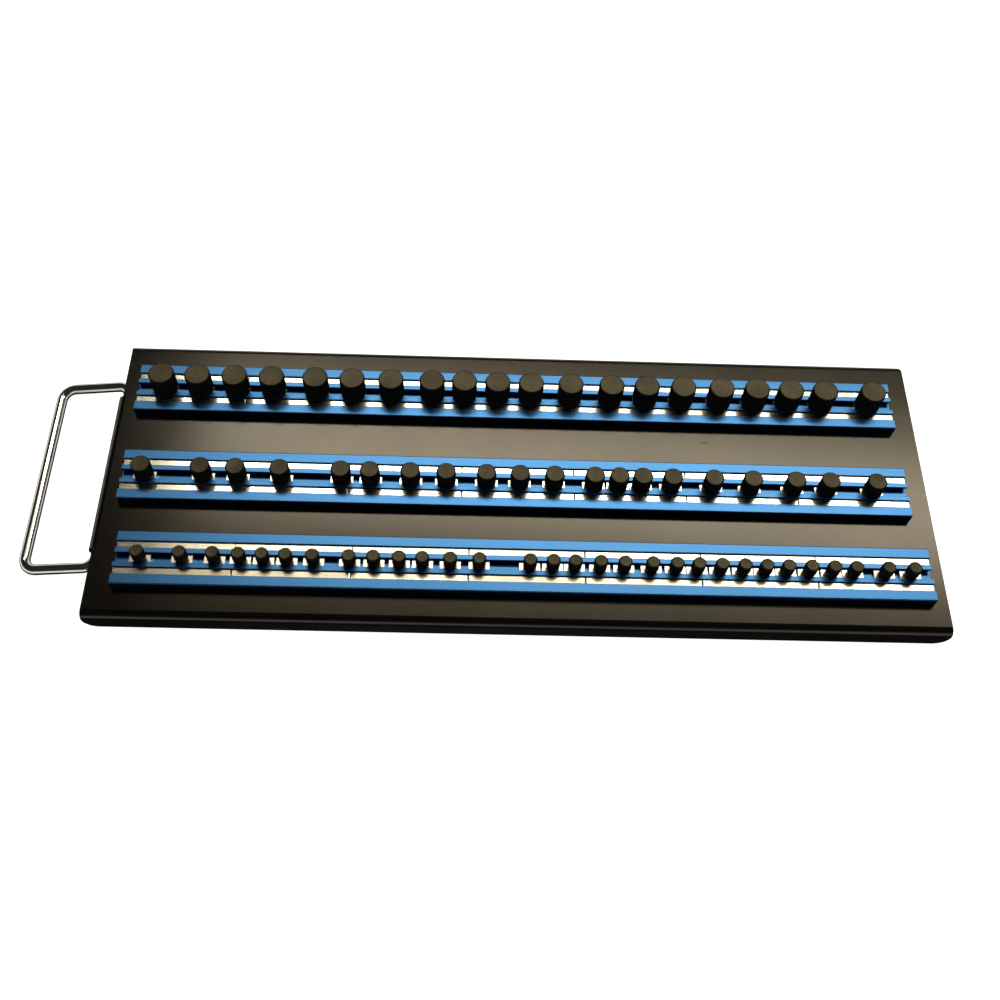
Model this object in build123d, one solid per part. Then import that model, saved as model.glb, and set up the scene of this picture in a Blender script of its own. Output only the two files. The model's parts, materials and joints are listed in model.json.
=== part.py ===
from build123d import *
from math import asin, cos, degrees, radians, sin
import os

# A portable tray for sockets. A folded sheet-steel tray carries three aluminium T-slot rails
# with rows of bar magnets. Round posts stand in the slots, slide along them and twist to lock.
# A bail of bent wire hangs in a rolled knuckle on the left edge.
# +X runs along the rails to the right, +Y to the rear and +Z up, and the table is at Z 0. The
# pieces are shaped about the middle of the tray, and written about the middle of the whole thing
# with its bail. Lengths are in millimetres and angles in degrees.

# Tray: one sheet, with its front and rear edges bent down into the flanges it stands on. What is
# cut out of it is cut by shapes that reach a little past the metal.
tray_length = 373.5
tray_depth = 142.7
tray_height = 10.5
sheet_thickness = 1.2
flange_bend_radius = 3.5
flange_corner_radius = 6.5
rear_right_corner_radius = 4.0
cut_through = 1.0

# Knuckle: a tab of the left edge rolled under into a tube that holds the ends of the bail.
knuckle_length = 80.4
knuckle_middle = 1.5
knuckle_axis_inset = 1.3
knuckle_seam_gap = 0.3
knuckle_relief = 0.5

# Bail: round wire bent to a flat U, lying on the table at rest.
wire_diameter = 4.76
wire_clearance = 0.1
bail_reach = 32.6
bail_width = 96.1
bail_corner_radius = 6.0
bail_end_radius = 5.5
bail_end_depth = 18.0

# Rails: one extrusion with a T-slot in the middle and a magnet groove on each side of it.
rail_width = 25.4
rail_height = 4.8
rail_edge_chamfer = 0.5
slot_width = 4.5
slot_lip = 1.1
undercut_width = 7.4
slot_floor = 1.8
groove_inner_wall = 2.4

# Magnets: plated bars laid end to end, a little below the top of the rail.
magnet_length = 50.8
magnet_width = 3.18
magnet_height = 3.18
magnet_recess = 0.8
magnet_side_clearance = 0.06
magnet_end_gap = 0.16
magnets_per_row = 7
rail_length = magnet_length * magnets_per_row

# Where the rails lie on the tray: the rear and front ones from the edge they lie along, and the
# middle one from the tray's middle.
rear_rail_inset = 27.5
front_rail_inset = 26.2
middle_rail_y = -3.45

# Rail screws: pan heads under the tray, three to a rail, on the rail's centre line.
screw_diameter = 4.0
screw_head_diameter = 7.0
screw_head_height = 2.2
screw_hole_clearance = 0.15
screw_thread_clearance = 0.05
screw_spacing = 140.0
screw_steps = (-1, 0, 1)
screw_tip_below_floor = 0.1

# Studs: a round post on a shank, with a flat nut under the lips of the slot.
shank_diameter = 4.0
shank_clearance = 0.05
post_seat_gap = 0.1
post_edge_chamfer = 0.4
nut_width = 7.0
nut_thickness = 1.6
nut_lip_clearance = 0.1

# One entry for each rail, rear to front: where its middle stands, the posts and nuts of its
# drive size, and the clear space to the left of each stud, counted from the rail's left end.
# The studs named free are separate moving pieces, and the others stand locked.
rails = {
    "rear": {
        "x": -1.4,
        "y": tray_depth / 2 - rear_rail_inset,
        "post_diameter": 11.7,
        "post_height": 11.3,
        "nut_length": 11.0,
        "gaps": [7.2, 4.8, 5.3, 5.3, 8.3, 5.3, 6.3, 7.3, 3.3, 3.8]
        + [3.8, 6.8, 7.3, 4.8, 5.3, 6.3, 4.8, 4.3, 4.3, 10.8],
        "free": [1, 4, 7, 10, 13, 17, 20],
    },
    "middle": {
        "x": -1.4,
        "y": middle_rail_y,
        "post_diameter": 8.7,
        "post_height": 8.7,
        "nut_length": 10.0,
        "gaps": [5.5, 16.0, 5.5, 9.5, 17.0, 3.0, 8.0, 6.0, 8.0, 5.0]
        + [5.5, 8.0, 1.0, 0.5, 3.5, 8.5, 7.5, 9.5, 5.5, 11.0],
        "free": [1, 2, 5, 9, 13, 16, 20],
    },
    "front": {
        "x": 2.5,
        "y": front_rail_inset - tray_depth / 2,
        "post_diameter": 6.0,
        "post_height": 6.4,
        "nut_length": 9.0,
        "gaps": [6.5, 9.0, 5.0, 2.0, 1.0, 1.0, 2.5, 6.5, 1.5, 2.0]
        + [1.0, 3.0, 3.5, 13.0, 1.0, 0.5, 2.0, 1.5, 3.0, 1.5]
        + [0.5, 1.0, 1.0, 0.5, 0.5, 1.0, 1.0, 0.5, 5.0, 2.5],
        "free": [1, 2, 8, 13, 14, 18, 29],
    },
}

# Sizes that follow from the ones above.
wire_radius = wire_diameter / 2
knuckle_bore_radius = wire_radius + wire_clearance
knuckle_radius = knuckle_bore_radius + sheet_thickness
knuckle_x = -tray_length / 2 + knuckle_axis_inset
knuckle_z = tray_height - knuckle_radius
bail_droop = degrees(asin((knuckle_z - wire_radius) / bail_reach))
bail_left = knuckle_x - bail_reach * cos(radians(bail_droop)) - wire_radius
whole_middle_x = (bail_left + tray_length / 2) / 2
groove_width = magnet_width + 2 * magnet_side_clearance
groove_depth = magnet_height + magnet_recess
groove_y = slot_width / 2 + groove_inner_wall + groove_width / 2
rail_top = tray_height + rail_height
nut_top = rail_top - slot_lip - nut_lip_clearance


def box_between(low, high):
    """A block between two opposite corners."""
    size = [b - a for a, b in zip(low, high)]
    return Pos(*low) * Box(*size, align=(Align.MIN, Align.MIN, Align.MIN))


def upright(diameter, bottom, top):
    """A round bar along Z."""
    bar = Cylinder(diameter / 2, top - bottom, align=(Align.CENTER, Align.CENTER, Align.MIN))
    return Pos(0, 0, bottom) * bar


def screw_places():
    """The middle of each rail screw, seen from above."""
    return [
        (rail["x"] + step * screw_spacing, rail["y"])
        for rail in rails.values()
        for step in screw_steps
    ]


def flange_section(depth, height, bend_radius):
    """A plate with both long edges bent down, seen from the end as a filled shape."""
    outline = Polyline(
        (-depth / 2, 0),
        (-depth / 2, height),
        (depth / 2, height),
        (depth / 2, 0),
        close=True,
    )
    face = make_face(outline)
    bends = face.vertices().group_by(Axis.Y)[-1]
    return fillet(bends, bend_radius)


def folded_sheet():
    """The tray's sheet before the knuckle: outer fold less inner fold, run along X."""
    outer = flange_section(tray_depth, tray_height, flange_bend_radius)
    inner = flange_section(
        tray_depth - 2 * sheet_thickness,
        tray_height - sheet_thickness,
        flange_bend_radius - sheet_thickness,
    )
    section = Plane.YZ * (outer - inner)
    return extrude(section, tray_length / 2, both=True)


def round_flange_corners(sheet):
    """Rounds the free lower corners of both flanges."""
    ends = sheet.edges().filter_by(Axis.Y).group_by(Axis.Z)[0]
    return fillet(ends, flange_corner_radius)


def rear_right_corner():
    """What is trimmed off the sheet to round its rear right corner, seen from above."""
    radius = rear_right_corner_radius
    corner = Pos(tray_length / 2 - radius, tray_depth / 2 - radius, 0)
    reach = radius + cut_through
    top = tray_height + cut_through
    square = box_between((0, 0, -cut_through), (reach, reach, top))
    return corner * (square - upright(2 * radius, -cut_through, top))


def knuckle_roll():
    """The rolled tab: it leaves the top of the sheet, runs round the wire and stops below the sheet."""
    seam = asin((knuckle_bore_radius - knuckle_seam_gap) / knuckle_radius)
    far = 2 * knuckle_radius
    wedge = make_face(
        Polyline((0, 0), (far * cos(seam), far * sin(seam)), (far, far), (0, far), close=True)
    )
    ring = Circle(knuckle_radius) - Circle(knuckle_bore_radius) - wedge
    end_view = Plane((knuckle_x, knuckle_middle, knuckle_z), x_dir=(1, 0, 0), z_dir=(0, -1, 0))
    return extrude(end_view * ring, knuckle_length / 2, both=True)


def make_tray_plate():
    """The tray: folded sheet, knuckle and screw holes."""
    sheet = round_flange_corners(folded_sheet())
    sheet -= rear_right_corner()
    half = knuckle_length / 2 + knuckle_relief
    sheet -= box_between(
        (-tray_length / 2 - cut_through, knuckle_middle - half, 0),
        (knuckle_x, knuckle_middle + half, tray_height + cut_through),
    )
    sheet += knuckle_roll()
    hole = upright(screw_diameter + 2 * screw_hole_clearance, 0, tray_height + cut_through)
    for x, y in screw_places():
        sheet -= Pos(x, y, 0) * hole
    return sheet


def make_carry_handle():
    """The bail: one wire, bent flat and then let down until its bar lies on the table."""
    half = bail_width / 2
    inner_end = knuckle_length / 2 - bail_end_depth
    path = FilletPolyline(
        (0, inner_end),
        (0, half),
        (-bail_reach, half),
        (-bail_reach, -half),
        (0, -half),
        (0, -inner_end),
        radius=[bail_end_radius, bail_corner_radius, bail_corner_radius, bail_end_radius],
    )
    start = Plane(path @ 0, z_dir=path % 0)
    wire = sweep(start * Circle(wire_radius), path)
    return Pos(knuckle_x, knuckle_middle, knuckle_z) * Rot(0, -bail_droop, 0) * wire


def rail_section():
    """The rail seen from its end, standing on its base: a chamfered bar, a T-slot and two grooves."""
    bar = Pos(0, rail_height / 2) * Rectangle(rail_width, rail_height)
    bar = chamfer(bar.vertices().group_by(Axis.Y)[-1], rail_edge_chamfer)
    mouth = Pos(0, rail_height) * Rectangle(slot_width, 2 * slot_lip)
    undercut_height = rail_height - slot_lip - slot_floor
    undercut = Pos(0, slot_floor + undercut_height / 2) * Rectangle(undercut_width, undercut_height)
    groove = Rectangle(groove_width, 2 * groove_depth)
    grooves = [Pos(side * groove_y, rail_height) * groove for side in (-1, 1)]
    return bar - mouth - undercut - grooves


def make_rail(rail):
    """A rail on the tray, with the threaded holes of its screws in the floor of the slot."""
    end_view = Plane((rail["x"], rail["y"], tray_height), x_dir=(0, 1, 0), z_dir=(1, 0, 0))
    body = extrude(end_view * rail_section(), rail_length / 2, both=True)
    bore = screw_diameter + 2 * screw_thread_clearance
    hole = upright(bore, 0, tray_height + slot_floor + cut_through)
    for step in screw_steps:
        body -= Pos(rail["x"] + step * screw_spacing, rail["y"], 0) * hole
    return body


def make_magnet_row(rail, side):
    """The magnets in one groove: bars end to end, side -1 in front of the slot and 1 behind it."""
    bar = Box(magnet_length - magnet_end_gap, magnet_width, magnet_height)
    middle = (magnets_per_row - 1) / 2
    z = rail_top - magnet_recess - magnet_height / 2
    return [
        Pos(rail["x"] + (n - middle) * magnet_length, rail["y"] + side * groove_y, z) * bar
        for n in range(magnets_per_row)
    ]


def make_rail_screws():
    """The screws that hold the rails down, put in from under the tray."""
    seat = tray_height - sheet_thickness
    tip = tray_height + slot_floor - screw_tip_below_floor
    head = upright(screw_head_diameter, seat - screw_head_height, seat)
    screw = head + upright(screw_diameter, seat, tip)
    return [Pos(x, y, 0) * screw for x, y in screw_places()]


def stud_width(rail):
    """The room that a stud takes along its rail: its post or its nut, whichever is longer."""
    return max(rail["post_diameter"], rail["nut_length"])


def stud_places(rail):
    """How far along X each stud of a rail stands, for the studs that its length has room for."""
    width = stud_width(rail)
    places = []
    reached = 0
    for gap in rail["gaps"]:
        reached += gap + width
        if reached > rail_length:
            break
        places.append(rail["x"] - rail_length / 2 + reached - width / 2)
    return places


def make_post(rail, x):
    """A post with its shank, standing over the slot at x."""
    bottom = rail_top + post_seat_gap
    top = rail_top + rail["post_height"]
    head = upright(rail["post_diameter"], bottom, top)
    head = chamfer(head.edges().group_by(Axis.Z)[-1], post_edge_chamfer)
    shank = upright(shank_diameter, nut_top - nut_thickness, bottom)
    return Pos(x, rail["y"], 0) * (head + shank)


def make_nut(rail, x):
    """The flat nut of one stud, under the lips of the slot at x."""
    middle_z = nut_top - nut_thickness / 2
    plate = Pos(0, 0, middle_z) * Box(rail["nut_length"], nut_width, nut_thickness)
    bore = upright(shank_diameter + 2 * shank_clearance, nut_top - nut_thickness, nut_top)
    return Pos(x, rail["y"], 0) * (plate - bore)


def make_studs(name, rail):
    """The nodes of one rail's studs: each free stud by itself, and the locked ones together."""
    nodes = {}
    locked_posts = []
    locked_nuts = []
    for number, x in enumerate(stud_places(rail), 1):
        post = make_post(rail, x)
        nut = make_nut(rail, x)
        if number in rail["free"]:
            nodes[f"{name}_post_{number:02d}"] = post
            nodes[f"{name}_nut_{number:02d}"] = nut
        else:
            locked_posts.append(post)
            locked_nuts.append(nut)
    nodes[f"{name}_locked_posts"] = Compound(children=locked_posts)
    nodes[f"{name}_locked_nuts"] = Compound(children=locked_nuts)
    return nodes


def make_nodes():
    """Every sub-part by name."""
    nodes = {
        "tray_plate": make_tray_plate(),
        "carry_handle": make_carry_handle(),
        "rail_screws": Compound(children=make_rail_screws()),
    }
    for name, rail in rails.items():
        nodes[f"{name}_rail"] = make_rail(rail)
        nodes[f"{name}_rail_back_magnets"] = Compound(children=make_magnet_row(rail, 1))
        nodes[f"{name}_rail_front_magnets"] = Compound(children=make_magnet_row(rail, -1))
        nodes.update(make_studs(name, rail))
    return nodes


def write_parts():
    """Writes each sub-part to its own file, about the middle of the whole thing."""
    os.makedirs("parts", exist_ok=True)
    for node, shape in make_nodes().items():
        export_step(Pos(-whole_middle_x, 0, 0) * shape, f"parts/{node}.step")


write_parts()
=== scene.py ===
# %% [markdown]
# # A socket tray with three magnetic post rails
#
# The construction of this tray is already made in CAD: the folded tray, the wire handle, three
# extruded rails with their magnets, seventy posts on flat nuts, and the screws underneath. This
# script dresses it. It loads that model as a fixed frame, builds finer surfaces over the pieces
# that the eye stops at, and gives every piece a finish made from shader nodes.
#
# Everything is in metres and in the frame of the CAD: +X runs along the rails, +Y to the rear,
# +Z up, and the table is at Z 0.

import json
import math

import bpy
import numpy as np
from mathutils import Matrix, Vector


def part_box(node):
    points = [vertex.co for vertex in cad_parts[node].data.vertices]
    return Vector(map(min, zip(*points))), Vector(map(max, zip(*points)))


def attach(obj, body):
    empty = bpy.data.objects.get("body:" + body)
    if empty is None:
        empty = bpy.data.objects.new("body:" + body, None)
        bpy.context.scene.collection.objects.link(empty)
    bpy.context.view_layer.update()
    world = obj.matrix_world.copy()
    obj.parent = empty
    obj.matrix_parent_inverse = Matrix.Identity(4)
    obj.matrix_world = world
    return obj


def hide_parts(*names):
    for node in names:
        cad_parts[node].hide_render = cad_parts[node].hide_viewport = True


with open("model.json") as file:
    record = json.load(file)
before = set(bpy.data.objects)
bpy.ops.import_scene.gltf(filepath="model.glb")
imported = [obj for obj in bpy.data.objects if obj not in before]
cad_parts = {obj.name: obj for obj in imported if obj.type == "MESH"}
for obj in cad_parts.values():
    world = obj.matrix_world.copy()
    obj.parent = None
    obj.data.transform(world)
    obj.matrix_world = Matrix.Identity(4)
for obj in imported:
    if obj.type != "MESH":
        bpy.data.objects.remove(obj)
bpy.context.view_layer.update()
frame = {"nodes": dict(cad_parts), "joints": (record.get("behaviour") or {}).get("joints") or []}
MM = 0.001
FLAT = 5
random = np.random.default_rng(14)

# %% [markdown]
# ## Surfaces from grids of points
#
# A mesh could be drawn by hand or with operators. Here every new shape is a formula instead: a
# grid of points worked out as one numpy array, whose neighbours are joined into quads. A row that
# closes on itself makes a tube, and a flat face or a fan of its own closes each end. The grid keeps
# its own order, so a second value per point can be laid over it as a UV map. Long flat bars shade
# evenly only when every edge beyond FLAT degrees stays sharp.


# %% Grid helpers
def grid_quads(rows, columns, closed=True):
    """The quads between neighbours of a rows by columns grid, whose columns may join up."""
    i = np.arange(rows - 1)[:, None]
    j = np.arange(columns if closed else columns - 1)[None, :]
    right = (j + 1) % columns
    corners = [i * columns + j, i * columns + right, (i + 1) * columns + right, (i + 1) * columns + j]
    return np.stack(np.broadcast_arrays(*corners), -1).reshape(-1, 4)


def fan(ring, hub):
    """Triangles from each edge of a closed ring of point numbers to one hub point."""
    return np.stack([ring, np.roll(ring, -1), np.full_like(ring, hub)], -1)


def mesh_piece(name, points, polygons, groups=None, uv=None, smooth=40):
    """A mesh object from points and lists of equal-sided polygons.

    groups gives a material number to each polygon, uv two values to each point, and edges
    sharper than the angle smooth stay sharp.
    """
    mesh = bpy.data.meshes.new(name)
    faces = [face for block in polygons for face in np.asarray(block).tolist()]
    mesh.from_pydata(np.asarray(points, float).reshape(-1, 3), [], faces)
    if groups is not None:
        mesh.polygons.foreach_set("material_index", np.asarray(groups, np.int32))
    if uv is not None:
        loops = np.empty(len(mesh.loops), np.int32)
        mesh.loops.foreach_get("vertex_index", loops)
        layer = mesh.uv_layers.new(name="shape")
        layer.data.foreach_set("uv", np.asarray(uv, np.float32).reshape(-1, 2)[loops].ravel())
    mesh.polygons.foreach_set("use_smooth", np.ones(len(mesh.polygons), bool))
    mesh.set_sharp_from_angle(angle=math.radians(smooth))
    mesh.update()
    piece = bpy.data.objects.new(name, mesh)
    bpy.context.scene.collection.objects.link(piece)
    return piece


def measure(piece):
    """Prints a piece's size in millimetres and its number of faces."""
    points = np.empty(len(piece.data.vertices) * 3)
    piece.data.vertices.foreach_get("co", points)
    size = np.ptp(points.reshape(-1, 3), axis=0) / MM
    print(piece.name, "mm", size.round(2), "faces", len(piece.data.polygons))


# %% [markdown]
# ## Finishes from nodes
#
# Each finish is a Principled shader whose colour, roughness and bump come from patterns in the
# object's own coordinates, in metres. A pattern's scale is then easy to choose: a noise of scale
# 1000 has features of about one millimetre.


# %% Finish helpers
class Finish:
    """A material with a Principled shader, and short names for the nodes that feed it."""

    def __init__(self, name, **sockets):
        self.material = bpy.data.materials.new(name)
        self.material.use_nodes = True
        self.tree = self.material.node_tree
        self.shader = self.tree.nodes["Principled BSDF"]
        self.place = self.tree.nodes.new("ShaderNodeTexCoord")
        for socket, value in sockets.items():
            self.shader.inputs[socket.replace("_", " ")].default_value = value

    def link(self, out, into):
        """Joins an output socket to an input socket."""
        self.tree.links.new(out, into)
        return into

    def stretch(self, x, y, z, source="Object"):
        """The object's coordinates, scaled along each axis."""
        mapping = self.tree.nodes.new("ShaderNodeMapping")
        mapping.inputs["Scale"].default_value = (x, y, z)
        self.link(self.place.outputs[source], mapping.inputs["Vector"])
        return mapping.outputs["Vector"]

    def noise(self, scale, detail=3.0, roughness=0.55, vector=None):
        """A cloud pattern of values about 0.5."""
        node = self.tree.nodes.new("ShaderNodeTexNoise")
        node.inputs["Scale"].default_value = scale
        node.inputs["Detail"].default_value = detail
        node.inputs["Roughness"].default_value = roughness
        self.link(vector or self.place.outputs["Object"], node.inputs["Vector"])
        return node.outputs["Fac"]

    def spread(self, value, low, high, out_low=0.0, out_high=1.0):
        """A value, moved from one range to another and held inside it."""
        node = self.tree.nodes.new("ShaderNodeMapRange")
        limits = {"From Min": low, "From Max": high, "To Min": out_low, "To Max": out_high}
        for socket, number in limits.items():
            node.inputs[socket].default_value = number
        self.link(value, node.inputs["Value"])
        return node.outputs["Result"]

    def blend(self, factor, first, second):
        """A mix of two colours, each a tuple or another node's output."""
        node = self.tree.nodes.new("ShaderNodeMix")
        node.data_type = "RGBA"
        self.link(factor, node.inputs["Factor"])
        for socket, colour in (("A", first), ("B", second)):
            entry = [i for i in node.inputs if i.name == socket and i.type == "RGBA"][0]
            if isinstance(colour, tuple):
                entry.default_value = (*colour, 1.0)
            else:
                self.link(colour, entry)
        return [o for o in node.outputs if o.type == "RGBA"][0]

    def sum(self, first, second, operation="ADD"):
        """Two values put through one arithmetic step."""
        node = self.tree.nodes.new("ShaderNodeMath")
        node.operation = operation
        for entry, value in zip(node.inputs, (first, second)):
            if isinstance(value, (int, float)):
                entry.default_value = value
            else:
                self.link(value, entry)
        return node.outputs["Value"]

    def bump(self, height, distance, strength=1.0, below=None):
        """Small relief, distance metres high, over an earlier bump if there is one."""
        node = self.tree.nodes.new("ShaderNodeBump")
        node.inputs["Distance"].default_value = distance
        node.inputs["Strength"].default_value = strength
        self.link(height, node.inputs["Height"])
        if below:
            self.link(below, node.inputs["Normal"])
        return node.outputs["Normal"]

    def feed(self, **outputs):
        """Joins patterns to the shader's sockets, by name."""
        for socket, out in outputs.items():
            self.link(out, self.shader.inputs[socket.replace("_", " ")])
        return self.material


def dress(piece, *materials):
    """Gives a piece its materials, in order, and keeps each face's material number.

    Clearing the slots would set every face back to number 0, so they are filled one by one.
    """
    slots = piece.data.materials
    while len(slots) < len(materials):
        slots.append(None)
    while len(slots) > len(materials):
        slots.pop()
    for number, material in enumerate(materials):
        slots[number] = material


# %% [markdown]
# ## The tray's black powder coat
#
# The tray is folded steel under a satin powder coat. Such a coat is nearly black where nothing
# shines on it, and shows a warm grey, slightly grainy image of the lamp where it mirrors one. So
# its colour is almost nothing, and its character is all in the gloss: a fine orange peel, and a
# roughness that wanders a little where hands and sockets have rubbed it.


# %% Powder coat
def powder_coat():
    """Black satin powder coat on folded steel."""
    coat = Finish("black_powder_coat", Specular_IOR_Level=0.5, Specular_Tint=(1.0, 0.97, 0.92, 1.0))
    wear = coat.noise(22.0, 4.0, 0.6)
    grain = coat.noise(2600.0, 2.0)
    peel = coat.noise(750.0, 3.0, 0.5)
    rub = coat.noise(160.0, 6.0, 0.7, coat.stretch(0.25, 1.0, 1.0))
    spots = coat.spread(rub, 0.66, 0.74)
    gloss = coat.spread(wear, 0.3, 0.7, 0.165, 0.2)
    gloss = coat.sum(gloss, coat.spread(grain, 0.3, 0.7, -0.03, 0.03))
    gloss = coat.sum(gloss, coat.sum(spots, 0.12, "MULTIPLY"))
    colour = coat.blend(coat.spread(wear, 0.35, 0.75), (0.002, 0.002, 0.002), (0.004, 0.0035, 0.003))
    normal = coat.bump(peel, 0.000012)
    normal = coat.bump(grain, 0.000006, below=normal)
    return coat.feed(Base_Color=colour, Roughness=gloss, Normal=normal)


tray_finish = powder_coat()
dress(frame["nodes"]["tray_plate"], tray_finish)
print("tray finish", tray_finish.name)

# %% [markdown]
# ## The rails
#
# Each rail is an aluminium extrusion, anodised blue, with a T-slot for the nuts and two grooves
# for the magnets. A drawn edge is never quite sharp, and the thin bright line along it is what
# makes the rail look like metal. The section is therefore drawn with every corner rounded by an
# arc, and carried along X.


# %% Rail section
def rounded_outline(corners, radii, steps=4):
    """An outline of straight runs, with an arc of each corner's own radius tangent to its runs.

    The arc starts and ends at radius / tan(half the corner's angle) from the corner, and is
    drawn by turning from one run's normal to the next.
    """
    corners = np.asarray(corners, float)
    radii = np.asarray(radii, float)
    back = np.roll(corners, 1, axis=0) - corners
    ahead = np.roll(corners, -1, axis=0) - corners
    back /= np.linalg.norm(back, axis=1, keepdims=True)
    ahead /= np.linalg.norm(ahead, axis=1, keepdims=True)
    half = np.arccos(np.clip((back * ahead).sum(1), -1, 1)) / 2
    middle = back + ahead
    middle /= np.linalg.norm(middle, axis=1, keepdims=True)
    centre = corners + middle * (radii / np.sin(half))[:, None]
    first = corners + back * (radii / np.tan(half))[:, None] - centre
    last = corners + ahead * (radii / np.tan(half))[:, None] - centre
    t = np.linspace(0, 1, steps)[None, :, None]
    turn = (np.pi - 2 * half)[:, None, None]
    arc = (np.sin((1 - t) * turn) * first[:, None] + np.sin(t * turn) * last[:, None]) / np.sin(turn)
    return (centre[:, None] + arc).reshape(-1, 2)


def extrusion(name, section, start, end, edge):
    """A closed bar along X: section points (y, z), shrunk a little at both ends for a soft edge.

    The end rings lie edge inside the section's outline, measured along each point's own normal.
    edge has to be less than the smallest radius in the section, or a corner would cross itself.
    """
    section = np.asarray(section)
    along = np.roll(section, -1, axis=0) - np.roll(section, 1, axis=0)
    along /= np.linalg.norm(along, axis=1, keepdims=True)
    outward = np.stack([along[:, 1], -along[:, 0]], 1)
    steps = [(start, edge), (start + edge, 0.0), (end - edge, 0.0), (end, edge)]
    rings = [np.column_stack([np.full(len(section), x), section - outward * inset]) for x, inset in steps]
    count = len(section)
    quads = grid_quads(len(rings), count)
    caps = [np.arange(count)[::-1], (len(rings) - 1) * count + np.arange(count)]
    return mesh_piece(name, np.concatenate(rings), [quads[:, ::-1], caps], smooth=FLAT)


rail_width = 25.4 * MM
rail_height = 4.8 * MM
slot_half = 2.25 * MM
lip = 1.1 * MM
undercut_half = 3.7 * MM
slot_floor = 1.8 * MM
groove_inner = 4.65 * MM
groove_outer = 7.95 * MM
groove_depth = 3.98 * MM
edge_round = 0.3 * MM
inner_round = 0.12 * MM
end_edge = 0.6 * inner_round


def rail_section():
    """The right half of the section, bottom middle to top, then its mirror image."""
    half = [
        (rail_width / 2, 0, inner_round),
        (rail_width / 2, rail_height, edge_round * 1.5),
        (groove_outer, rail_height, edge_round * 0.6),
        (groove_outer, rail_height - groove_depth, inner_round),
        (groove_inner, rail_height - groove_depth, inner_round),
        (groove_inner, rail_height, edge_round * 0.6),
        (slot_half, rail_height, edge_round * 0.6),
        (slot_half, rail_height - lip, inner_round),
        (undercut_half, rail_height - lip, inner_round),
        (undercut_half, slot_floor, inner_round),
    ]
    half = np.array(half)
    mirror = half[::-1] * (-1, 1, 1)
    both = np.concatenate([half, mirror])
    return rounded_outline(both[:, :2], both[:, 2])


rails = {}
for name in ("rear", "middle", "front"):
    low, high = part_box(f"{name}_rail")
    section = rail_section() + ((low.y + high.y) / 2, low.z)
    rails[name] = extrusion(f"{name}_rail_extrusion", section, low.x, high.x, end_edge)
    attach(rails[name], "tray")
    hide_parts(f"{name}_rail")
    measure(rails[name])


# %% [markdown]
# ## Blue anodising
#
# Anodising dyes the skin of the aluminium, so the surface stays metallic but takes a colour. The
# skin is matt, and the press leaves faint lines along the bar. The lines are a noise drawn out
# along X, used for a little relief and a little change of tone, and a wider cloud keeps the three
# rails from being one even colour.


# %% Anodised aluminium
def anodising():
    """Satin blue anodised aluminium, with faint lines along X."""
    skin = Finish("blue_anodising", Metallic=1.0, Specular_Tint=(0.8, 0.9, 1.0, 1.0))
    lines = skin.noise(1.0, 4.0, 0.6, skin.stretch(12.0, 5200.0, 5200.0))
    fine = skin.noise(5200.0, 2.0)
    cloud = skin.noise(35.0, 3.0, vector=skin.stretch(0.5, 1.0, 1.0))
    tone = skin.sum(skin.spread(lines, 0.3, 0.7, 0.0, 0.6), skin.spread(cloud, 0.3, 0.7, 0.0, 0.4))
    colour = skin.blend(tone, (0.050, 0.172, 0.45), (0.064, 0.213, 0.53))
    gloss = skin.sum(skin.spread(lines, 0.3, 0.7, 0.33, 0.38), skin.spread(fine, 0.3, 0.7, -0.02, 0.02))
    normal = skin.bump(lines, 0.0000007)
    normal = skin.bump(fine, 0.0000007, below=normal)
    return skin.feed(Base_Color=colour, Roughness=gloss, Normal=normal)


rail_finish = anodising()
for rail in rails.values():
    dress(rail, rail_finish)
print("rails dressed", len(rails))

# %% [markdown]
# ## The magnets
#
# Seven plated bars lie end to end in each groove. They are bright enough to mirror the lamp, the
# posts and each other, and since no two lie quite alike, their reflections break at the joints.
# Each bar is a box whose edges are rounded: the points of a cube are pushed out from a smaller
# core by one fixed radius, and the whole bar is then turned by a fraction of a degree.


# %% Magnet bars
def soft_box(centre, size, radius, tilt, steps=3):
    """A box with round edges, as a grid of rings along X.

    A ring is a rounded rectangle. Near each end it shrinks as a quarter circle does, stopping
    just short of the full quarter so that no points fall together. tilt turns the bar about X
    and Y.
    """
    corner = np.linspace(0, np.pi / 2, steps)
    angle = (np.arange(4)[:, None] * np.pi / 2 + corner[None, :]).ravel()
    sign_y = np.repeat([1, -1, -1, 1], steps)
    sign_z = np.repeat([1, 1, -1, -1], steps)
    phase = np.linspace(0, 0.9, steps) * np.pi / 2
    reach = size[0] / 2 - radius + radius * np.sin(phase)
    grow = radius * np.cos(phase)
    x = np.concatenate([-reach[::-1], reach])
    r = np.concatenate([grow[::-1], grow])
    y = sign_y * (size[1] / 2 - radius) + r[:, None] * np.cos(angle)
    z = sign_z * (size[2] / 2 - radius) + r[:, None] * np.sin(angle)
    points = np.stack([np.broadcast_to(x[:, None], y.shape), y, z], -1).reshape(-1, 3)
    about_x, about_y = tilt
    turn_x = np.array(Matrix.Rotation(about_x, 3, "X"))
    turn_y = np.array(Matrix.Rotation(about_y, 3, "Y"))
    points = points @ (turn_y @ turn_x).T + centre
    return points, len(x), len(angle)


tilt_spread = (0.004, 0.0006)
tilt_limit = 0.008


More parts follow.
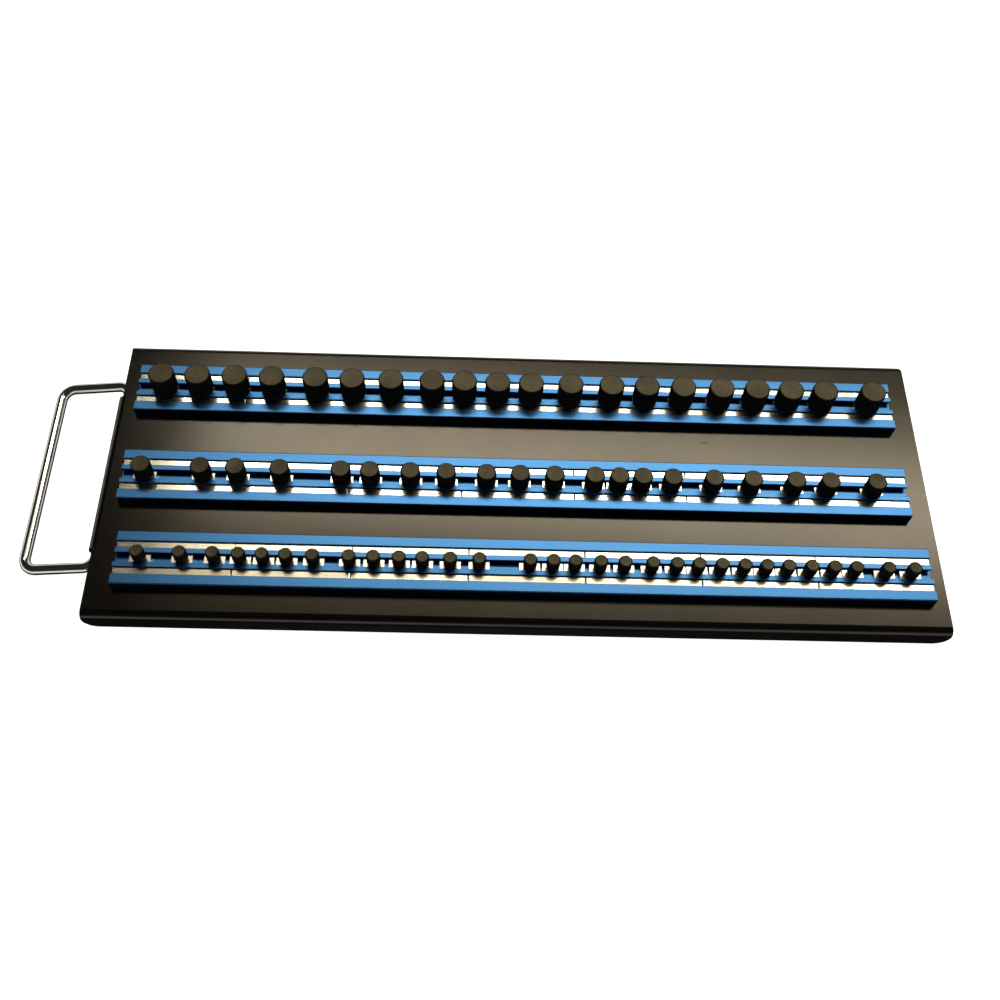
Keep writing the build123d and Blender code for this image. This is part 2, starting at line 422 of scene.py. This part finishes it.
def magnet_row(name, low, high, count):
    """A row of bars that fills a box end to end."""
    pitch = (high.x - low.x) / count
    joint_gap = 0.28 * MM
    side_play = 0.06 * MM
    top_play = 0.10 * MM
    radius = 0.25 * MM
    size = (pitch - joint_gap, high.y - low.y - side_play, high.z - low.z - top_play)
    blocks = []
    faces = []
    ends = []
    base = 0
    for n in range(count):
        centre = (low.x + (n + 0.5) * pitch, (low.y + high.y) / 2, (low.z + high.z) / 2)
        tilt = np.clip(random.normal(0, tilt_spread), -tilt_limit, tilt_limit)
        points, rows, columns = soft_box(centre, size, radius, tilt)
        faces.append(grid_quads(rows, columns)[:, ::-1] + base)
        ends.append(np.arange(columns)[::-1] + base)
        ends.append(np.arange(columns) + base + (rows - 1) * columns)
        blocks.append(points)
        base += len(points)
    return mesh_piece(name, np.concatenate(blocks), [np.concatenate(faces), np.array(ends)], smooth=FLAT)


magnet_rows = []
for name in rails:
    for side in ("back", "front"):
        node = f"{name}_rail_{side}_magnets"
        row = magnet_row(f"{name}_{side}_magnet_bars", *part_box(node), 7)
        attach(row, "tray")
        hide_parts(node)
        magnet_rows.append(row)
        measure(row)


# %% [markdown]
# ## Nickel on the magnets
#
# Nickel is a metal with a warm tint. Its roughness is what decides how sharply a bar shows the edge
# of the lamp, so a cloud and fine lines along X vary it a little.


# %% Nickel plating
def nickel_plating():
    """Bright nickel on the magnets, a little cloudy from handling."""
    plate = Finish("bright_nickel", Metallic=1.0)
    cloud = plate.noise(90.0, 4.0, 0.6)
    scratch = plate.noise(1.0, 3.0, 0.6, plate.stretch(40.0, 4200.0, 4200.0))
    colour = plate.blend(plate.spread(cloud, 0.3, 0.7), (0.80, 0.78, 0.72), (0.90, 0.88, 0.83))
    gloss = plate.sum(plate.spread(cloud, 0.3, 0.7, 0.14, 0.20), plate.spread(scratch, 0.4, 0.7, 0.0, 0.05))
    normal = plate.bump(scratch, 0.0000003)
    return plate.feed(Base_Color=colour, Roughness=gloss, Normal=normal)


magnet_finish = nickel_plating()
for row in magnet_rows:
    dress(row, magnet_finish)
print("magnet rows dressed", len(magnet_rows))

# %% [markdown]
# ## The posts
#
# A post is a black cylinder whose side is knurled with straight teeth, so that fingers can twist
# it. Its radius is a function of the angle: full at each tooth, and less by the tooth's depth
# between teeth. The teeth fade out over the small chamfers, and the top inside them is a plain,
# slightly hollow disc. One list of rings, each with a radius, a height and a share of the teeth,
# describes the whole post, and the angle runs round it.

# %% Knurled post
TEETH = {"rear": 48, "middle": 42, "front": 30}


def post_rings(radius, shank, bottom, top, foot):
    """The rings of a post from the shank's foot to the middle of its top.

    Each ring is (radius, height, share of the teeth), in metres.
    """
    rim = 0.32 * MM
    disc = radius - 0.62 * MM
    return np.array([
        (shank, foot, 0.0),
        (shank, bottom, 0.0),
        (radius - 0.5 * MM, bottom, 0.0),
        (radius - 0.06 * MM, bottom + rim, 0.9),
        (radius, bottom + 1.5 * rim, 1.0),
        (radius, top - 1.5 * rim, 1.0),
        (radius - 0.03 * MM, top - 0.7 * rim, 1.0),
        (radius - 0.22 * MM, top - 0.12 * rim, 0.75),
        (disc, top, 0.0),
        (disc * 0.9, top - 0.04 * MM, 0.0),
        (disc * 0.55, top - 0.09 * MM, 0.0),
        (disc * 0.12, top - 0.10 * MM, 0.0),
    ])


def post_surface(centre, rings, teeth, phase):
    """Points and UVs of one knurled post: radius = ring radius - depth * share * groove(angle).

    groove is a rounded V: the distance to the nearest tooth's crest, raised to a power.
    """
    columns = teeth * 4
    angle = phase + np.arange(columns) * 2 * np.pi / columns
    groove = np.array([0.0, 0.55, 1.0, 0.55])[np.arange(columns) % 4]
    depth = 0.26 * MM
    r = rings[:, :1] - depth * rings[:, 2:3] * groove
    x = centre[0] + r * np.cos(angle)
    y = centre[1] + r * np.sin(angle)
    z = np.broadcast_to(rings[:, 1:2], x.shape)
    points = np.stack([x, y, z], -1).reshape(-1, 3)
    hub = [[centre[0], centre[1], rings[-1, 1]], [centre[0], centre[1], rings[0, 1]]]
    flat = np.stack([(x - centre[0]), (y - centre[1])], -1).reshape(-1, 2) / MM
    return np.concatenate([points, hub]), np.concatenate([flat, [[0, 0], [0, 0]]]), columns


def posts_piece(name, rail, places):
    """One mesh of knurled posts, standing where the CAD posts stand.

    Material 0 is the side, and material 1 the disc on top, with scuffs and a painted sheen.
    """
    points, uvs, quads, fans, group = [], [], [], [], [[], []]
    base = 0
    for low, high in places:
        centre = ((low[0] + high[0]) / 2, (low[1] + high[1]) / 2)
        radius = (high[0] - low[0]) / 2
        bottom = rail_top + 0.1 * MM
        rings = post_rings(radius, 2.0 * MM, bottom, high[2], low[2])
        block, uv, columns = post_surface(centre, rings, TEETH[rail], random.uniform(0, 2 * np.pi))
        side = grid_quads(len(rings), columns)
        quads.append(side + base)
        group[0].append((np.arange(len(side)) >= 8 * columns).astype(int))
        top = np.arange(columns) + (len(rings) - 1) * columns
        foot = np.arange(columns)[::-1]
        hub = len(rings) * columns
        fans += [fan(top, hub) + base, fan(foot, hub + 1) + base]
        group[1] += [np.ones(columns, int), np.zeros(columns, int)]
        points.append(block)
        uvs.append(uv)
        base += len(block)
    groups = np.concatenate([*group[0], *group[1]])
    polygons = [np.concatenate(quads), np.concatenate(fans)]
    return mesh_piece(name, np.concatenate(points), polygons, groups, np.concatenate(uvs), smooth=50)


solid_gap = 1.9 * MM


def solids_of(node):
    """The lowest and highest corners of each separate solid of a node that stands in a row along X.

    The points are sorted along X, and a step wider than solid_gap parts two solids.
    """
    mesh = frame["nodes"][node].data
    points = np.empty(len(mesh.vertices) * 3)
    mesh.vertices.foreach_get("co", points)
    points = points.reshape(-1, 3)
    points = points[np.argsort(points[:, 0])]
    cuts = np.flatnonzero(np.diff(points[:, 0]) > solid_gap) + 1
    return [(part.min(0), part.max(0)) for part in np.split(points, cuts)]


rail_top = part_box("rear_rail")[1].z
posts = []
for node in sorted(frame["nodes"]):
    rail, _, rest = node.partition("_")
    if "post" not in rest:
        continue
    places = solids_of(node)
    piece = posts_piece(f"{node}_knurled", rail, places)
    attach(piece, "tray" if "locked" in node else node)
    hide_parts(node)
    posts.append(piece)
    if "locked" in node:
        print(node, "posts", len(places))
        measure(piece)
print("post pieces", len(posts))


# %% [markdown]
# ## The posts' black plastic
#
# The sides are plain moulded black. The tops are the same plastic with scuffs from sockets set down
# on them for years, and a warm grey-brown painted into their colour stands in for the sheen of the
# lamp that they catch. The UV map holds each post's own distance from its middle, so faint turning
# rings and a small mould mark lie centred on every top.


# %% Post finishes
def moulded_black():
    """The knurled side of a post."""
    side = Finish("moulded_black", Specular_IOR_Level=0.22, Specular_Tint=(1.0, 0.94, 0.86, 1.0))
    speckle = side.noise(1800.0, 3.0)
    colour = side.blend(side.spread(speckle, 0.3, 0.7), (0.0015, 0.0014, 0.0014), (0.005, 0.0045, 0.004))
    gloss = side.spread(speckle, 0.3, 0.7, 0.42, 0.55)
    return side.feed(Base_Color=colour, Roughness=gloss, Normal=side.bump(speckle, 0.00001))


def post_top_scuffs_and_sheen():
    """The disc on top of a post, with scuffs, rings about its middle, and a warm grey-brown painted sheen.
    """
    top = Finish("post_top_scuffs_painted_sheen", Specular_IOR_Level=0.55, Specular_Tint=(1.0, 0.96, 0.76, 1.0))
    flat = top.place.outputs["UV"]
    length = top.tree.nodes.new("ShaderNodeVectorMath")
    length.operation = "LENGTH"
    top.link(flat, length.inputs[0])
    radius = length.outputs["Value"]
    wobble = top.noise(700.0, 3.0)
    rings = top.sum(top.sum(radius, top.sum(wobble, 0.5, "MULTIPLY")), 11.0, "MULTIPLY")
    rings = top.sum(rings, 0.0, "SINE")
    scuff = top.noise(420.0, 5.0, 0.7)
    patch = top.noise(75.0, 2.0, 0.5)
    scuff_sheen_mask = top.spread(scuff, 0.25, 0.75, 0.2, 1.0)
    handling_sheen_mask = top.spread(patch, 0.35, 0.62, 0.25, 1.0)
    tone = top.sum(scuff_sheen_mask, handling_sheen_mask, "MULTIPLY")
    # Painted sheen: the warm grey-brown mixed into the top's colour stands in for the lamp's reflection on
    # the black plastic, in patches that follow real scuffs.
    colour = top.blend(tone, (0.006, 0.005, 0.004), (0.10, 0.085, 0.045))
    mark = top.spread(radius, 0.35, 0.6, 0.6, 0.0)
    colour = top.blend(mark, colour, (0.012, 0.009, 0.006))
    gloss = top.spread(scuff, 0.3, 0.7, 0.42, 0.54)
    normal = top.bump(rings, 0.000012)
    normal = top.bump(scuff, 0.00002, below=normal)
    return top.feed(Base_Color=colour, Roughness=gloss, Normal=normal)


side_finish = moulded_black()
top_finish = post_top_scuffs_and_sheen()
for piece in posts:
    dress(piece, side_finish, top_finish)
print("posts dressed", len(posts))


# %% [markdown]
# ## The nuts and the screws
#
# The nuts lie in the dark of the slots, and only their zinc-plated ends show beside each post.
# Their CAD shape is already right. The screws show from beneath: pan heads with a cross recess,
# which is a dip cut into the head's face where either of two bars crosses it.


# %% Zinc plating
def zinc_plating():
    """Bright zinc on the nuts and screws, with a soft crystalline cloud."""
    zinc = Finish("bright_zinc", Metallic=1.0)
    cell = zinc.tree.nodes.new("ShaderNodeTexVoronoi")
    cell.inputs["Scale"].default_value = 900.0
    zinc.link(zinc.place.outputs["Object"], cell.inputs["Vector"])
    cloud = zinc.noise(300.0, 4.0)
    cloudy = zinc.spread(cloud, 0.3, 0.7, 0.0, 0.7)
    crystals = zinc.spread(cell.outputs["Distance"], 0.0, 1.0, 0.0, 0.3)
    tone = zinc.sum(cloudy, crystals)
    colour = zinc.blend(tone, (0.74, 0.74, 0.72), (0.92, 0.92, 0.90))
    gloss = zinc.spread(cloud, 0.3, 0.7, 0.2, 0.32)
    return zinc.feed(Base_Color=colour, Roughness=gloss, Normal=zinc.bump(cloud, 0.000004))


zinc_finish = zinc_plating()
nuts = [node for node in frame["nodes"] if "nut" in node]
for node in nuts:
    dress(frame["nodes"][node], zinc_finish)
print("nut nodes dressed", len(nuts))


# %% [markdown]
# ## The screws' shape
#
# A screw could be turned as a plain profile, but the cross recess isn't round. So the profile is
# turned first, and the points of the face that lie inside either bar of the cross are then lifted
# into the head.


# %% Pan-head screws
def screw_surface(centre, seat, head_low, tip, columns=48):
    """One screw hanging head down: rings (radius, height), with the recess cut into its face.

    The recess depth at a point is the full depth where the point lies inside either bar of the
    cross, and falls to nothing over a short slope: depth * clip((half width - distance) / slope).
    """
    head = 3.5 * MM
    shank = 2.0 * MM
    round_off = 0.9 * MM
    arc = np.linspace(0, np.pi / 2, 5)
    face = [(r * MM, head_low) for r in (0.25, 0.5, 0.75, 1.0, 1.25, 1.5, 1.75, 2.0, 2.2)]
    edge = [(head - round_off + round_off * np.sin(a), head_low + round_off * (1 - np.cos(a))) for a in arc]
    point = 0.3 * MM
    body = [(head, seat), (shank, seat), (shank, tip - point), (shank - point, tip)]
    rings = np.array([*face, *edge, *body])
    angle = np.arange(columns) * 2 * np.pi / columns
    x = rings[:, :1] * np.cos(angle)
    y = rings[:, :1] * np.sin(angle)
    arm = 2.0 * MM
    width = 0.42 * MM
    slope = 0.25 * MM
    inside_a = np.minimum((width - abs(x)) / slope, (arm - abs(y)) / slope)
    inside_b = np.minimum((width - abs(y)) / slope, (arm - abs(x)) / slope)
    recess_depth = 1.1 * MM
    dip = recess_depth * np.clip(np.maximum(inside_a, inside_b), 0, 1)
    z = rings[:, 1:2] + np.where(rings[:, 1:2] <= head_low + 1e-9, dip, 0)
    points = np.stack([centre[0] + x, centre[1] + y, z], -1).reshape(-1, 3)
    hubs = [[*centre, head_low + recess_depth], [*centre, tip]]
    return np.concatenate([points, hubs]), len(rings), columns


screw_spacing = 140.0 * MM
screw_head_height = 2.2 * MM


def screw_piece(name, node):
    """All the rail screws in one mesh, three under each rail at screw_spacing apart, from the CAD node's
    lowest to its highest point.
    """
    blocks, quads, fans = [], [], []
    base = 0
    low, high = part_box(node)
    seat = low.z + screw_head_height
    for rail in rails:
        rail_low, rail_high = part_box(f"{rail}_rail")
        middle = (rail_low + rail_high) / 2
        for step in (-1, 0, 1):
            centre = (middle.x + step * screw_spacing, middle.y)
            block, rows, columns = screw_surface(centre, seat, low.z, high.z)
            quads.append(grid_quads(rows, columns) + base)
            hub = rows * columns
            fans.append(fan(np.arange(columns)[::-1], hub) + base)
            fans.append(fan(np.arange(columns) + (rows - 1) * columns, hub + 1) + base)
            blocks.append(block)
            base += len(block)
    return mesh_piece(name, np.concatenate(blocks), [np.concatenate(quads), np.concatenate(fans)], smooth=35)


screws = screw_piece("cross_recess_screws", "rail_screws")
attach(screws, "tray")
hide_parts("rail_screws")
dress(screws, zinc_finish)
measure(screws)

# %% [markdown]
# ## The wire handle
#
# The handle is one length of round wire, bent and then chromed. Chrome shows every flat of a
# coarse mesh, so the wire is drawn again as a smooth tube: a circle carried along straight runs
# and tangent arcs, in the plane in which the handle hangs from its knuckle to the table.


# %% Handle tube
def bent_path(corners, radii, steps=14):
    """Points along straight runs joined by tangent arcs, each arc in equal turns.

    The same arc formula as for the rail's corners, left open at both ends.
    """
    corners = np.asarray(corners, float)
    inner = rounded_outline(corners, [1e-9, *radii, 1e-9], steps)
    arcs = inner.reshape(len(corners), steps, 2)[1:-1].reshape(-1, 2)
    return np.concatenate([corners[:1], arcs, corners[-1:]])


def tube(name, path, radius, columns=40, chamfer=0.35 * MM):
    """A round tube of points about an open path in space, with chamfered, closed ends.

    Each ring lies square to the path. Its two axes are the plane's own normal, which is the same
    all along a flat path, and the cross product of that normal with the path's direction.
    """
    path = np.asarray(path)
    ahead = np.gradient(path, axis=0)
    ahead /= np.linalg.norm(ahead, axis=1, keepdims=True)
    normal = np.cross(path[-1] - path[0], path[len(path) // 2] - path[0])
    normal /= np.linalg.norm(normal)
    across = np.cross(normal, ahead)
    shape = np.full(len(path), radius)
    first = [path[0], path[0] + ahead[0] * chamfer]
    last = [path[-1] - ahead[-1] * chamfer, path[-1]]
    path = np.concatenate([first, path[1:-1], last])
    across = np.concatenate([across[:1], across, across[-1:]])
    shape = np.concatenate([[radius - chamfer], [radius], shape[1:-1], [radius], [radius - chamfer]])
    angle = np.arange(columns) * 2 * np.pi / columns
    ring = np.cos(angle)[None, :, None] * across[:, None, :] + np.sin(angle)[None, :, None] * normal
    points = path[:, None, :] + shape[:, None, None] * ring
    count = len(path)
    caps = [np.arange(columns)[::-1], (count - 1) * columns + np.arange(columns)]
    print(name, "length mm", round(float(np.linalg.norm(np.diff(path, axis=0), axis=1).sum() / MM), 1))
    return mesh_piece(name, points.reshape(-1, 3), [grid_quads(count, columns), caps], smooth=35)


wire_radius = 2.38 * MM
low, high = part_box("carry_handle")
swing = [joint for joint in frame["joints"] if joint["name"] == "handle_swing"][0]
pivot = np.array(swing["pos_m"])
half = (high.y - low.y) / 2 - wire_radius
reach = 32.6 * MM
inner_end = 22.2 * MM
droop = math.asin((pivot[2] - wire_radius) / reach)
flat_path = bent_path(
    [(0, inner_end), (0, half), (-reach, half), (-reach, -half), (0, -half), (0, -inner_end)],
    [5.5 * MM, 6.0 * MM, 6.0 * MM, 5.5 * MM],
)
lean = np.array([math.cos(droop), 0.0, math.sin(droop)])
wire_path = pivot + flat_path[:, :1] * lean + flat_path[:, 1:] * (0.0, 1.0, 0.0)
handle = tube("chromed_wire_handle", wire_path, wire_radius)
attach(handle, "carry_handle")
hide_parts("carry_handle")
measure(handle)


# %% [markdown]
# ## The handle's chrome
#
# Chrome is nearly a mirror, so the wire takes its look from the room around it. A faint haze and a
# few pits keep it from being perfect.


# %% Chrome
def chrome():
    """Decorative chrome on drawn wire: nearly a mirror, with a faint haze and pits."""
    plate = Finish("handle_chrome", Metallic=1.0)
    haze = plate.noise(160.0, 4.0, 0.6)
    pits = plate.spread(plate.noise(1500.0, 2.0), 0.68, 0.76)
    colour = plate.blend(plate.spread(haze, 0.3, 0.7), (0.74, 0.74, 0.72), (0.84, 0.84, 0.82))
    gloss = plate.sum(plate.spread(haze, 0.3, 0.7, 0.05, 0.10), plate.sum(pits, 0.2, "MULTIPLY"))
    return plate.feed(Base_Color=colour, Roughness=gloss, Normal=plate.bump(haze, 0.000004))


dress(handle, chrome())
print("handle dressed")

# %% [markdown]
# ## Table and light
#
# The tray lies on a plain white table, whose far rim curves up into a low wall, so that the view
# is pale from every side. One long soft lamp hangs behind and above it. The lamp is what the
# posts' tops, the magnets and the satin tray mirror, and its place was worked out from that
# mirror: a ray from the camera to the tray, turned upwards at the tray, has to meet the lamp.


# %% Table
def dish(name, flat_radius, wall_radius, wall_height, columns=96):
    """A flat disc whose rim rises as a quarter circle into a wall.

    Rings (radius, height): two on the disc, then the arc, then the top of the wall.
    """
    turn = np.linspace(0, np.pi / 2, 10)
    arc = [(flat_radius + wall_radius * np.sin(a), wall_radius * (1 - np.cos(a))) for a in turn]
    rings = np.array([(flat_radius * 0.3, 0.0), *arc, (flat_radius + wall_radius, wall_height)])
    angle = np.arange(columns) * 2 * np.pi / columns
    x = rings[:, :1] * np.cos(angle)
    y = rings[:, :1] * np.sin(angle)
    z = np.broadcast_to(rings[:, 1:2], x.shape)
    points = np.concatenate([np.stack([x, y, z], -1).reshape(-1, 3), [[0, 0, 0]]])
    hub = len(points) - 1
    quads = grid_quads(len(rings), columns)[:, ::-1]
    return mesh_piece(name, points, [quads, fan(np.arange(columns), hub)], smooth=60)


def table_white():
    """Matt white board with a faint cloud."""
    board = Finish("white_board", Roughness=0.9, Specular_IOR_Level=0.1)
    cloud = board.noise(6.0, 2.0)
    colour = board.blend(cloud, (0.90, 0.90, 0.90), (0.93, 0.93, 0.93))
    board.shader.inputs["Emission Color"].default_value = (1.0, 1.0, 1.0, 1.0)
    board.shader.inputs["Emission Strength"].default_value = 0.95
    return board.feed(Base_Color=colour)


table = dish("table", 2.2, 0.7, 1.1)
table.data.transform(Matrix.Translation((0, 0, -0.0002)))
dress(table, table_white())
table.visible_glossy = False
measure(table)


# %% [markdown]
# ## The lamps
#
# A bright strip gives the sharp light on the magnets, and a wider, dimmer and yellower screen about
# it gives the slow fade over the tray.


# %% Lamps
LAMP_HEIGHT = 1.0
LAMP_COLOUR = (1.0, 0.88, 0.66)
SCREEN_COLOUR = (1.0, 0.82, 0.48)


def hanging_lamp(name, middle, size, radiance, turn, colour):
    """A level rectangular lamp facing down, turned about Z.

    A lamp of one radiance over its whole face gives off pi * area * radiance watts.
    """
    data = bpy.data.lights.new(name, "AREA")
    data.shape = "RECTANGLE"
    data.size, data.size_y = size
    data.energy = math.pi * size[0] * size[1] * radiance
    data.color = colour
    light = bpy.data.objects.new(name, data)
    light.matrix_world = Matrix.Translation((*middle, LAMP_HEIGHT)) @ Matrix.Rotation(turn, 4, "Z")
    bpy.context.scene.collection.objects.link(light)
    print(name, "watts", round(data.energy, 1))
    return light


hanging_lamp("bright_strip", (0.23, 0.592), (1.26, 0.19), 9.4, math.radians(-5.5), LAMP_COLOUR)
hanging_lamp("wide_screen", (0.20, 0.60), (1.20, 0.60), 0.68, math.radians(-8), SCREEN_COLOUR)


# %% [markdown]
# ## The room
#
# The room is dim, with a pale band of walls at the height of the eye. Seen from the camera, the
# flat black and blue faces don't mirror the band, but the round wire of the handle does, and it
# shows as a bright streak between dark ones. The band is a ramp over the height of the direction,
# from -1 straight down to 1 straight up.


# %% Room
def dim_room(stops):
    """A world whose colour follows stops of (sine of the elevation, red, green, blue)."""
    room = bpy.data.worlds.new("dim_room")
    room.use_nodes = True
    tree = room.node_tree
    place = tree.nodes.new("ShaderNodeTexCoord")
    split = tree.nodes.new("ShaderNodeSeparateXYZ")
    ramp = tree.nodes.new("ShaderNodeValToRGB")
    share = tree.nodes.new("ShaderNodeMapRange")
    share.inputs["From Min"].default_value = -1.0
    tree.links.new(place.outputs["Generated"], split.inputs["Vector"])
    tree.links.new(split.outputs["Z"], share.inputs["Value"])
    tree.links.new(share.outputs["Result"], ramp.inputs["Fac"])
    tree.links.new(ramp.outputs["Color"], tree.nodes["Background"].inputs["Color"])
    while len(ramp.color_ramp.elements) < len(stops):
        ramp.color_ramp.elements.new(0.5)
    for element, (height, *colour) in zip(ramp.color_ramp.elements, stops):
        element.position = (height + 1) / 2
        element.color = (*colour, 1.0)
    return room


room_stops = [
    (-1.0, 0.45, 0.45, 0.42),
    (-0.97, 0.30, 0.30, 0.27),
    (-0.94, 0.010, 0.010, 0.009),
    (-0.46, 0.010, 0.010, 0.009),
    (-0.22, 0.85, 0.85, 0.80),
    (0.16, 0.95, 0.95, 0.90),
    (0.26, 0.16, 0.15, 0.10),
    (0.45, 0.05, 0.046, 0.028),
    (0.62, 0.014, 0.014, 0.012),
    (1.0, 0.03, 0.03, 0.03),
]
bpy.context.scene.world = dim_room(room_stops)
print("room stops", len(room_stops))

# %% [markdown]
# ## The camera
#
# The place, the lens and the three angles were found by fitting a plain pinhole camera to the
# corners of the rails and the tops of the posts. The photograph's own lens bends straight lines
# a little, which this camera doesn't copy.

# %% Camera
CAMERA_PLACE = (-0.00683, -0.27233, 0.46676)
CAMERA_DOWN = math.radians(60.07)
CAMERA_TURN = math.radians(3.10)
CAMERA_ROLL = math.radians(4.04)
CAMERA_LENS = 41.97

camera_data = bpy.data.cameras.new("camera")
camera_data.lens = CAMERA_LENS
camera_data.sensor_width = 36.0
camera_data.clip_start = 0.01
camera = bpy.data.objects.new("camera", camera_data)
look = np.array([
    math.sin(CAMERA_TURN) * math.cos(CAMERA_DOWN),
    math.cos(CAMERA_TURN) * math.cos(CAMERA_DOWN),
    -math.sin(CAMERA_DOWN),
])
level = np.array([math.cos(CAMERA_TURN), -math.sin(CAMERA_TURN), 0.0])
upright = np.cross(level, look)
right = level * math.cos(CAMERA_ROLL) + upright * math.sin(CAMERA_ROLL)
up = -level * math.sin(CAMERA_ROLL) + upright * math.cos(CAMERA_ROLL)
aim = Matrix(np.column_stack([right, up, -look]).tolist()).to_4x4()
camera.matrix_world = Matrix.Translation(CAMERA_PLACE) @ aim
bpy.context.scene.collection.objects.link(camera)
bpy.context.scene.camera = camera
bpy.context.scene.view_settings.view_transform = "Standard"
print("camera", CAMERA_PLACE, "lens", CAMERA_LENS)
